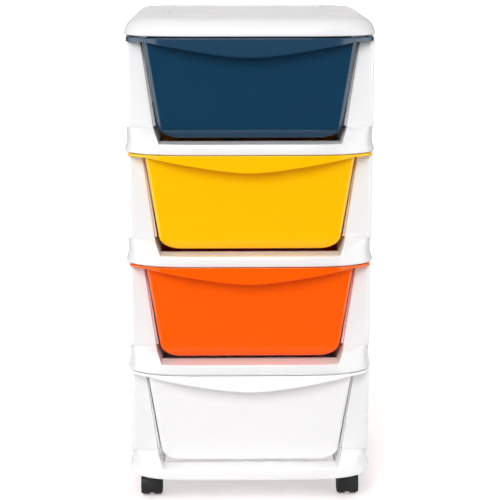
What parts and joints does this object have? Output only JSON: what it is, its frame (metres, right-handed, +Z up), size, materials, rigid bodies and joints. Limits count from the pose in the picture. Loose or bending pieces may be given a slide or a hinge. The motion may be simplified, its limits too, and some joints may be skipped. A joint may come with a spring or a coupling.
{
  "type": "plastic drawer tower",
  "caption": "Rolling tower of open plastic frames with hanging drawers that slide out, wall panels, a domed cover and swivel casters.",
  "frame": {"origin": "on the floor, under the middle of the footprint", "axes": "+X to the right as one faces the drawers, the drawers open towards -Y, +Z up"},
  "size_m": [0.39, 0.384, 0.777],
  "materials": {
    "white_plastic": "glossy white moulded polypropylene, faint flow marks",
    "panel_plastic": "satin-gloss white moulded polypropylene",
    "white_drawer": "glossy white moulded polypropylene",
    "orange_drawer": "glossy orange moulded polypropylene",
    "yellow_drawer": "glossy yellow moulded polypropylene",
    "blue_drawer": "glossy petrol blue moulded polypropylene",
    "caster_plastic": "satin black moulded nylon",
    "wheel_plastic": "satin black moulded nylon",
    "pin_steel": "bright zinc-plated steel"
  },
  "bodies": {
    "tower": {"top_cover": "white_plastic", "base_frame": "white_plastic", "divider_frame_1": "white_plastic", "divider_frame_2": "white_plastic", "divider_frame_3": "white_plastic", "left_panel_1": "panel_plastic", "left_panel_2": "panel_plastic", "left_panel_3": "panel_plastic", "left_panel_4": "panel_plastic", "right_panel_1": "panel_plastic", "right_panel_2": "panel_plastic", "right_panel_3": "panel_plastic", "right_panel_4": "panel_plastic", "back_panel_1": "panel_plastic", "back_panel_2": "panel_plastic", "back_panel_3": "panel_plastic", "back_panel_4": "panel_plastic"},
    "drawer_1": {"drawer_1": "white_drawer"},
    "drawer_2": {"drawer_2": "orange_drawer"},
    "drawer_3": {"drawer_3": "yellow_drawer"},
    "drawer_4": {"drawer_4": "blue_drawer"},
    "front_left_caster": {"front_left_caster_hood": "caster_plastic", "front_left_caster_stem": "pin_steel", "front_left_caster_axle": "pin_steel"},
    "front_left_inner_wheel": {"front_left_caster_inner_wheel": "wheel_plastic"},
    "front_left_outer_wheel": {"front_left_caster_outer_wheel": "wheel_plastic"},
    "front_right_caster": {"front_right_caster_hood": "caster_plastic", "front_right_caster_stem": "pin_steel", "front_right_caster_axle": "pin_steel"},
    "front_right_inner_wheel": {"front_right_caster_inner_wheel": "wheel_plastic"},
    "front_right_outer_wheel": {"front_right_caster_outer_wheel": "wheel_plastic"},
    "rear_left_caster": {"rear_left_caster_hood": "caster_plastic", "rear_left_caster_stem": "pin_steel", "rear_left_caster_axle": "pin_steel"},
    "rear_left_inner_wheel": {"rear_left_caster_inner_wheel": "wheel_plastic"},
    "rear_left_outer_wheel": {"rear_left_caster_outer_wheel": "wheel_plastic"},
    "rear_right_caster": {"rear_right_caster_hood": "caster_plastic", "rear_right_caster_stem": "pin_steel", "rear_right_caster_axle": "pin_steel"},
    "rear_right_inner_wheel": {"rear_right_caster_inner_wheel": "wheel_plastic"},
    "rear_right_outer_wheel": {"rear_right_caster_outer_wheel": "wheel_plastic"}
  },
  "joints": [
    {"name": "drawer_1_slide", "type": "slide", "parent": "tower", "child": "drawer_1", "axis": [0, -1, 0], "range_m": [0, 0.25]},
    {"name": "drawer_2_slide", "type": "slide", "parent": "tower", "child": "drawer_2", "axis": [0, -1, 0], "range_m": [0, 0.25]},
    {"name": "drawer_3_slide", "type": "slide", "parent": "tower", "child": "drawer_3", "axis": [0, -1, 0], "range_m": [0, 0.25]},
    {"name": "drawer_4_slide", "type": "slide", "parent": "tower", "child": "drawer_4", "axis": [0, -1, 0], "range_m": [0, 0.25]},
    {"name": "front_left_swivel", "type": "hinge", "parent": "tower", "child": "front_left_caster", "pos_m": [-0.16, -0.142, 0.06], "axis": [0, 0, 1], "continuous": true},
    {"name": "front_left_inner_spin", "type": "hinge", "parent": "front_left_caster", "child": "front_left_inner_wheel", "pos_m": [-0.1495, -0.13, 0.02], "axis": [1, 0, 0], "continuous": true},
    {"name": "front_left_outer_spin", "type": "hinge", "parent": "front_left_caster", "child": "front_left_outer_wheel", "pos_m": [-0.1705, -0.13, 0.02], "axis": [1, 0, 0], "continuous": true},
    {"name": "front_right_swivel", "type": "hinge", "parent": "tower", "child": "front_right_caster", "pos_m": [0.16, -0.142, 0.06], "axis": [0, 0, 1], "continuous": true},
    {"name": "front_right_inner_spin", "type": "hinge", "parent": "front_right_caster", "child": "front_right_inner_wheel", "pos_m": [0.1495, -0.13, 0.02], "axis": [1, 0, 0], "continuous": true},
    {"name": "front_right_outer_spin", "type": "hinge", "parent": "front_right_caster", "child": "front_right_outer_wheel", "pos_m": [0.1705, -0.13, 0.02], "axis": [1, 0, 0], "continuous": true},
    {"name": "rear_left_swivel", "type": "hinge", "parent": "tower", "child": "rear_left_caster", "pos_m": [-0.16, 0.144, 0.06], "axis": [0, 0, 1], "continuous": true},
    {"name": "rear_left_inner_spin", "type": "hinge", "parent": "rear_left_caster", "child": "rear_left_inner_wheel", "pos_m": [-0.1495, 0.156, 0.02], "axis": [1, 0, 0], "continuous": true},
    {"name": "rear_left_outer_spin", "type": "hinge", "parent": "rear_left_caster", "child": "rear_left_outer_wheel", "pos_m": [-0.1705, 0.156, 0.02], "axis": [1, 0, 0], "continuous": true},
    {"name": "rear_right_swivel", "type": "hinge", "parent": "tower", "child": "rear_right_caster", "pos_m": [0.16, 0.144, 0.06], "axis": [0, 0, 1], "continuous": true},
    {"name": "rear_right_inner_spin", "type": "hinge", "parent": "rear_right_caster", "child": "rear_right_inner_wheel", "pos_m": [0.1495, 0.156, 0.02], "axis": [1, 0, 0], "continuous": true},
    {"name": "rear_right_outer_spin", "type": "hinge", "parent": "rear_right_caster", "child": "rear_right_outer_wheel", "pos_m": [0.1705, 0.156, 0.02], "axis": [1, 0, 0], "continuous": true}
  ]
}
